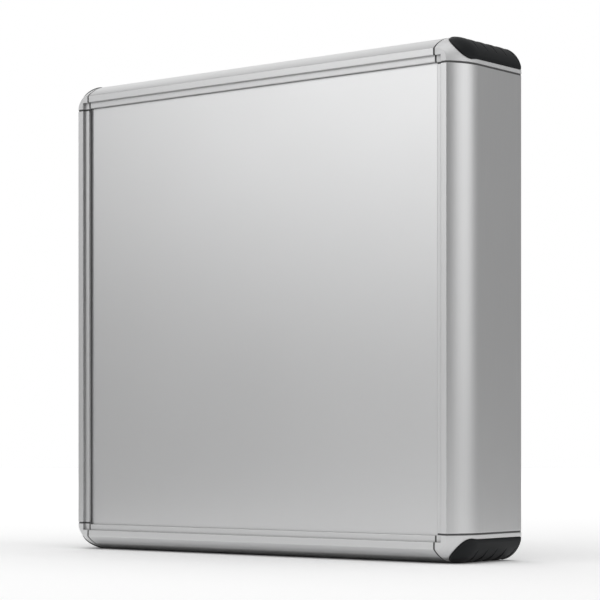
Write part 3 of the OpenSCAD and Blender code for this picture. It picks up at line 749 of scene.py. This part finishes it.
for end in ("upper", "lower"):
    low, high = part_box(f"latch_knob_{end}")
    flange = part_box(f"latch_barrel_{end}")[1].y
    stem_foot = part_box(f"latch_cam_{end}")[1].y + stem_gap
    hub_foot, hub_top = flange + hub_gap, flange + hub_rise
    rings = [(stem_radius - stem_bevel, stem_foot), (stem_radius, stem_foot + stem_bevel)]
    rings += [(stem_radius, hub_foot), (hub_radius - hub_bevel, hub_foot)]
    rings += [(hub_radius, hub_foot + hub_bevel), (hub_radius, hub_top - hub_round)]
    rings += [(hub_radius - hub_cut, hub_top - hub_cut), (hub_radius - hub_round, hub_top)]
    rings.append((wing(0), hub_top))
    turns = [pi / 2 * i / crown_steps for i in range(crown_steps + 1)]
    rings += [(wing(knob_round * (1 - cos(t))), high.y - knob_round * (1 - sin(t))) for t in turns]
    mark_floor = slot_shape(mark_half - mark_draft, mark_half_wide - mark_draft)
    rings += [(slot_shape(mark_half, mark_half_wide), high.y), (mark_floor, high.y - mark_deep)]
    mesh = ringed(f"latch_{end}_wing_knob", rings, knob_steps)
    axis = Vector(((low.x + high.x) / 2, 0, (low.z + high.z) / 2))
    moved(mesh, Matrix.Translation(axis) @ Matrix.Rotation(-pi / 2, 4, "X"))
    finished(mesh.name, mesh, f"latch_{end}", knob_black,
             [f"latch_knob_{end}"], knob_sharp)

# Studio
# A white paper sheet under and behind the object on a pale floor, a lit white card behind, and
# soft boxes overhead, behind to the left, in front to the left and to the right.
camera_place = Vector((1.11485, front - 1.32244, 0.09245))
camera_turn = radians(38.786)
focal_px, frame_px, horizon_px = 2144.485, 600.0, 441.4
eye = bpy.data.cameras.new("photo_camera")
eye.sensor_width = 36.0
eye.lens = focal_px / frame_px * eye.sensor_width
eye.shift_y = (horizon_px - frame_px / 2) / frame_px
eye.clip_start, eye.clip_end = 0.05, 60.0
camera = bpy.data.objects.new("photo_camera", eye)
camera.location = camera_place
camera.rotation_euler = (radians(90), 0.0, camera_turn)
scene.collection.objects.link(camera)
scene.camera = camera
behind = Vector((-sin(camera_turn), cos(camera_turn), 0.0))
across = Vector((cos(camera_turn), sin(camera_turn), 0.0))


def stage_mesh(name, points, material):
    """One flat face of the studio, which isn't part of the object."""
    mesh = bpy.data.meshes.new(name)
    mesh.from_pydata(points, [], [tuple(range(len(points)))])
    mesh.materials.append(material)
    obj = bpy.data.objects.new(name, mesh)
    scene.collection.objects.link(obj)


def seen_rays(tree):
    """1 for rays that show a surface, straight or in metal and glass, and 0 for those that only light."""
    rays = tree_node(tree, "ShaderNodeLightPath")
    direct = tree_node(tree, "ShaderNodeMath", operation="MAXIMUM")
    seen = tree_node(tree, "ShaderNodeMath", operation="MAXIMUM")
    tree.links.new(rays.outputs["Is Camera Ray"], direct.inputs[0])
    tree.links.new(rays.outputs["Is Glossy Ray"], direct.inputs[1])
    tree.links.new(direct.outputs["Value"], seen.inputs[0])
    tree.links.new(rays.outputs["Is Transmission Ray"], seen.inputs[1])
    return seen.outputs["Value"]


sheet_near, sheet_far, sheet_near_half, sheet_far_half = -0.7, 6.0, 0.15, 1.126
sheet_side_soft, sheet_front, sheet_front_soft = 0.2, -0.75, 0.24
glow_near, glow_far, glow_near_level, glow_far_level = 0.2, 2.8, 0.36, 0.78
contact_reach = 0.3
floor_grey, paper_white = (0.74, 0.74, 0.74), (0.95, 0.95, 0.95)
floor_paper = bpy.data.materials.new("floor_paper")
floor_paper.use_nodes = True
floor_paper.cycles.emission_sampling = "NONE"
tree = floor_paper.node_tree
shader = tree.nodes["Principled BSDF"]
shader.inputs["Roughness"].default_value = 1.0
shader.inputs["Specular IOR Level"].default_value = 0.0
shader.inputs["Emission Color"].default_value = (1, 1, 1, 1)
place = tree_node(tree, "ShaderNodeTexCoord")
far = tree_node(tree, "ShaderNodeVectorMath", {1: behind}, operation="DOT_PRODUCT")
wide = tree_node(tree, "ShaderNodeVectorMath", {1: across}, operation="DOT_PRODUCT")
spread = tree_node(tree, "ShaderNodeMath", operation="ABSOLUTE")
sheet = tree_node(tree, "ShaderNodeMapRange", {"From Min": sheet_near, "From Max": sheet_far,
                                               "To Min": sheet_near_half, "To Max": sheet_far_half})
beyond = tree_node(tree, "ShaderNodeMath", operation="SUBTRACT")
side_fade = tree_node(tree, "ShaderNodeMapRange",
                      {"From Max": sheet_side_soft, "To Min": 1.0, "To Max": 0.0},
                      interpolation_type="SMOOTHSTEP")
front_fade = tree_node(tree, "ShaderNodeMapRange",
                       {"From Min": sheet_front, "From Max": sheet_front + sheet_front_soft},
                       interpolation_type="SMOOTHSTEP")
paper = tree_node(tree, "ShaderNodeMath", operation="MULTIPLY")
far_glow = tree_node(tree, "ShaderNodeMapRange", {"From Min": glow_near, "From Max": glow_far,
                                                  "To Min": glow_near_level, "To Max": glow_far_level})
# The paper glows for seen rays, more further back; an occlusion mask darkens that glow near the object as a
# painted contact shadow.
shade = tree_node(tree, "ShaderNodeAmbientOcclusion", {"Distance": contact_reach}, samples=8)
shadowed_paper = tree_node(tree, "ShaderNodeMath", operation="MULTIPLY")
glow = tree_node(tree, "ShaderNodeMath", operation="MULTIPLY")
white = tree_node(tree, "ShaderNodeMath", operation="MULTIPLY")
link = tree.links.new
link(place.outputs["Object"], far.inputs[0])
link(place.outputs["Object"], wide.inputs[0])
link(wide.outputs["Value"], spread.inputs[0])
link(far.outputs["Value"], sheet.inputs["Value"])
link(spread.outputs["Value"], beyond.inputs[0])
link(sheet.outputs["Result"], beyond.inputs[1])
link(beyond.outputs["Value"], side_fade.inputs["Value"])
link(far.outputs["Value"], front_fade.inputs["Value"])
link(side_fade.outputs["Result"], paper.inputs[0])
link(front_fade.outputs["Result"], paper.inputs[1])
link(far.outputs["Value"], far_glow.inputs["Value"])
link(paper.outputs["Value"], shadowed_paper.inputs[0])
link(shade.outputs["AO"], shadowed_paper.inputs[1])
link(far_glow.outputs["Result"], glow.inputs[0])
link(shadowed_paper.outputs["Value"], glow.inputs[1])
link(glow.outputs["Value"], white.inputs[0])
link(seen_rays(tree), white.inputs[1])
link(white.outputs["Value"], shader.inputs["Emission Strength"])
link(mixed(tree, paper.outputs["Value"], floor_grey, paper_white), shader.inputs["Base Color"])
floor_reach, floor_level, floor_sides = 6.0, -0.0002, 96
turns = [2 * pi * i / floor_sides for i in range(floor_sides)]
stage_mesh("floor", [(floor_reach * cos(t), floor_reach * sin(t), floor_level) for t in turns], floor_paper)

card_white = bpy.data.materials.new("card_white")
card_white.use_nodes = True
card_white.cycles.emission_sampling = "NONE"
shader = card_white.node_tree.nodes["Principled BSDF"]
shader.inputs["Base Color"].default_value = (0, 0, 0, 1)
shader.inputs["Specular IOR Level"].default_value = 0.0
shader.inputs["Emission Color"].default_value = (1, 1, 1, 1)
card_white.node_tree.links.new(seen_rays(card_white.node_tree), shader.inputs["Emission Strength"])
card_far, card_sunk, card_high, card_half_wide = 6.4, 0.1, 2.1, 1.3
card_foot = behind * card_far - Vector((0, 0, card_sunk))
card_left, card_right = card_foot - across * card_half_wide, card_foot + across * card_half_wide
card_rise = Vector((0, 0, card_high))
stage_mesh("backdrop", [card_left, card_right, card_right + card_rise, card_left + card_rise], card_white)


def soft_box(name, place, aim, size, radiance):
    """A lamp of an even brightness over its face, whatever its size."""
    lamp = bpy.data.lights.new(name, "AREA")
    lamp.shape = "RECTANGLE"
    lamp.size, lamp.size_y = size
    lamp.energy = radiance * pi * size[0] * size[1]
    obj = bpy.data.objects.new(name, lamp)
    obj.location = place
    obj.rotation_euler = (Vector(aim) - Vector(place)).to_track_quat("-Z", "Y").to_euler()
    scene.collection.objects.link(obj)


soft_box("ceiling_box", place=(0.45, -0.55, 2.6), aim=(0.45, -0.55, 0), size=(2.6, 2.6), radiance=0.83)
soft_box("rear_box", place=(-1.6, 1.2, 1.9), aim=(0, 0, 0.3), size=(1.6, 1.6), radiance=0.78)
soft_box("front_box", place=(-1.25, -2.38, 1.45), aim=(0, 0, 0.25), size=(2.0, 2.0), radiance=1.22)
soft_box("right_box", place=(2.78, 0.36, 1.0), aim=(0.2, 0, 0.25), size=(2.15, 1.5), radiance=1.09)

air_low, air_high, air_from, air_to = (0.31, 0.31, 0.31), (0.3, 0.3, 0.3), -0.04, 0.7
dim_from, dim_level = 0.5, 0.6
world = bpy.data.worlds.new("studio_air")
world.use_nodes = True
scene.world = world
air = world.node_tree
way = tree_node(air, "ShaderNodeTexCoord")
parts = tree_node(air, "ShaderNodeSeparateXYZ")
lift = tree_node(air, "ShaderNodeMapRange", {"From Min": air_from, "From Max": air_to})
toward = tree_node(air, "ShaderNodeVectorMath", {1: -behind}, operation="DOT_PRODUCT")
dim = tree_node(air, "ShaderNodeMapRange", {"From Min": dim_from, "To Min": 1.0, "To Max": dim_level})
backing = air.nodes["Background"]
link = air.links.new
link(way.outputs["Generated"], parts.inputs["Vector"])
link(way.outputs["Generated"], toward.inputs[0])
link(parts.outputs["Z"], lift.inputs["Value"])
link(toward.outputs["Value"], dim.inputs["Value"])
sky = mixed(air, lift.outputs["Result"], air_low, air_high)
link(sky, backing.inputs["Color"])
link(dim.outputs["Result"], backing.inputs["Strength"])

scene.view_settings.view_transform = "Standard"
